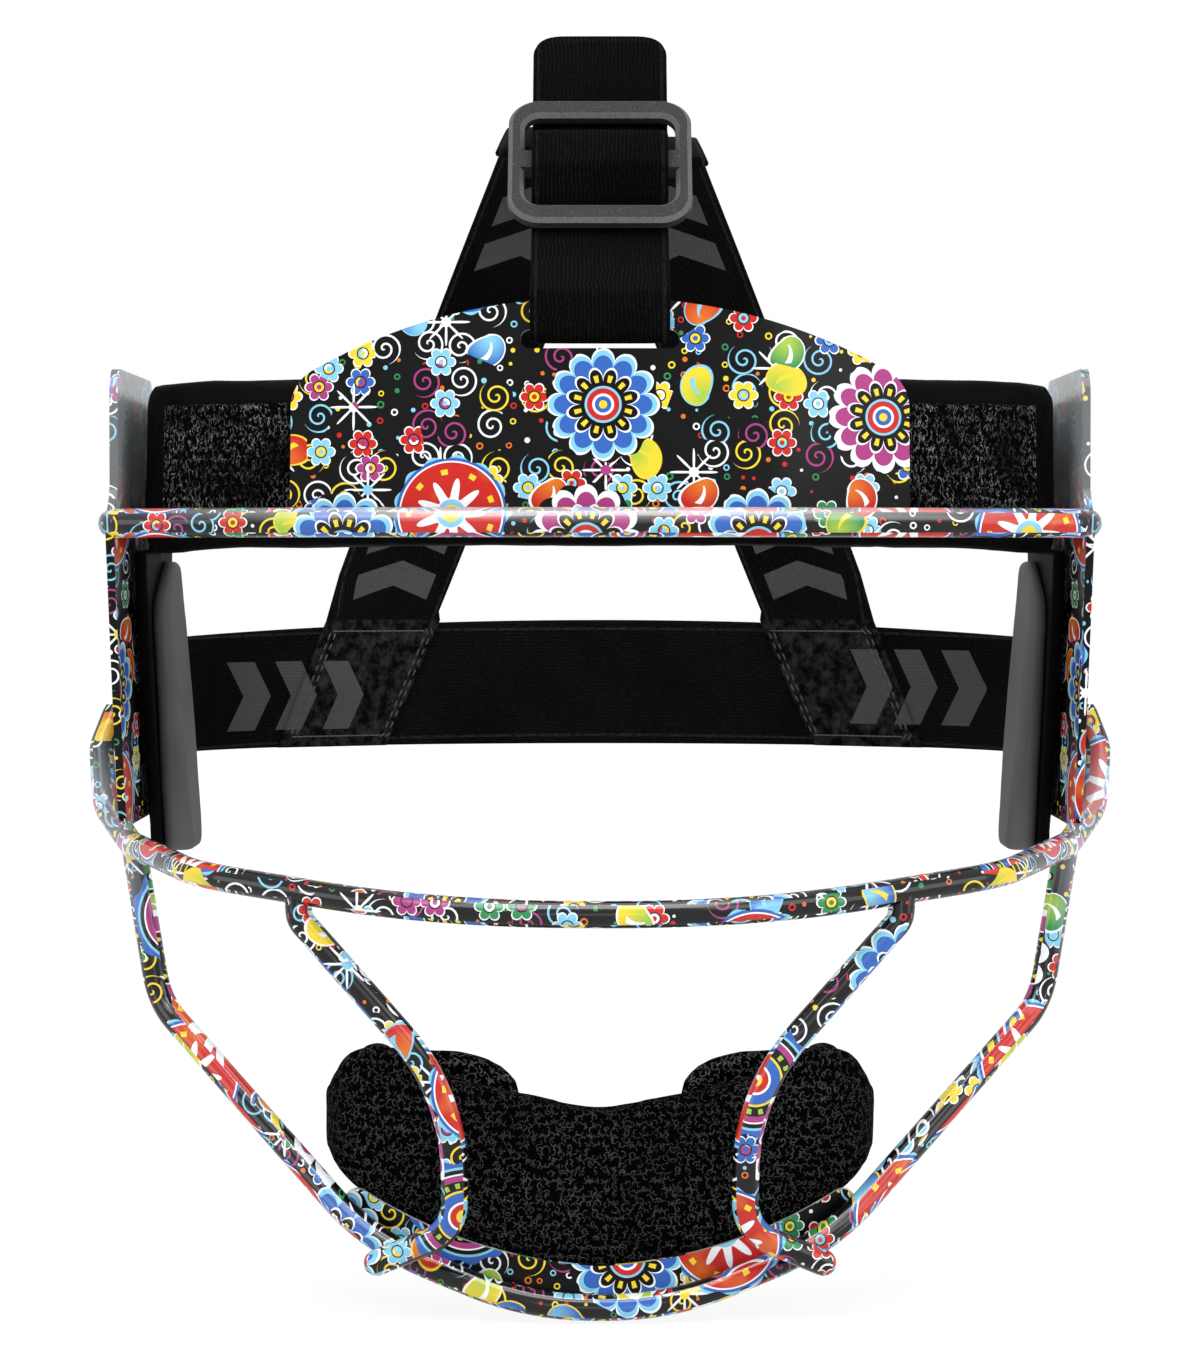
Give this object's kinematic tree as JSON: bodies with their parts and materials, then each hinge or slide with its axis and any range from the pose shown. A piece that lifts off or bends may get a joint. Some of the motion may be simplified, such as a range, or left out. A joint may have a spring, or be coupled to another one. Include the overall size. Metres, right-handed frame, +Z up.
{
  "type": "softball face guard",
  "caption": "Steel wire and plate face guard with eye opening, forehead, side and chin pads, and an adjustable elastic harness.",
  "frame": {"origin": "middle of the wearer's head at eye height, between the side plates", "axes": "+Z up, +Y from the face to the back of the head, +X across"},
  "size_m": [0.1972, 0.2044, 0.2372],
  "materials": {
    "printed_steel": "gloss black with a many-coloured floral print",
    "hook_tape": "self-gripping hook tape",
    "pad_core": "foam",
    "pad_cover": "smooth black",
    "fleece": "brushed loop fleece",
    "grey_foam": "matt closed-cell foam",
    "terry": "curly terry",
    "elastic": "woven elastic",
    "webbing": "woven",
    "buckle_plastic": "moulded"
  },
  "bodies": {
    "frame": {"brow_bar": "printed_steel", "eye_bar": "printed_steel", "jaw_bar": "printed_steel", "cheek_bar_left": "printed_steel", "cheek_bar_right": "printed_steel", "forehead_plate": "printed_steel", "side_plate_left": "printed_steel", "side_plate_right": "printed_steel", "chin_plate": "printed_steel", "forehead_hook_patch": "hook_tape", "side_hook_patch_left": "hook_tape", "side_hook_patch_right": "hook_tape", "chin_hook_patch": "hook_tape", "forehead_core": "pad_core", "forehead_pad": "pad_cover", "forehead_loop_panel": "fleece", "side_backing_left": "pad_cover", "side_foam_left": "grey_foam", "chin_cushion_left": "terry", "strap_fold_left": "elastic", "side_backing_right": "pad_cover", "side_foam_right": "grey_foam", "chin_cushion_right": "terry", "strap_fold_right": "elastic", "chin_pad": "terry", "front_strap": "elastic"},
    "harness": {"rear_strap": "elastic", "crown_strap_left": "elastic", "crown_strap_right": "elastic", "crown_loop": "webbing", "buckle": "buckle_plastic"},
    "tab_left": {"strap_tab_left": "elastic"},
    "tab_right": {"strap_tab_right": "elastic"}
  },
  "joints": [
    {"name": "harness_swing", "type": "hinge", "parent": "frame", "child": "harness", "pos_m": [0, 0.0095, -0.0029], "axis": [1, 0, 0], "range_deg": [-8, 6], "stiffness_Nm_per_rad": 0.8, "deforming": ["front_strap", "strap_fold_left", "strap_fold_right"]},
    {"name": "tab_left_peel", "type": "hinge", "parent": "harness", "child": "tab_left", "pos_m": [-0.0934, 0.01845, -0.0029], "axis": [0, 0, 1], "range_deg": [0, 140]},
    {"name": "tab_right_peel", "type": "hinge", "parent": "harness", "child": "tab_right", "pos_m": [0.0934, 0.01845, -0.0029], "axis": [0, 0, -1], "range_deg": [0, 140]}
  ]
}
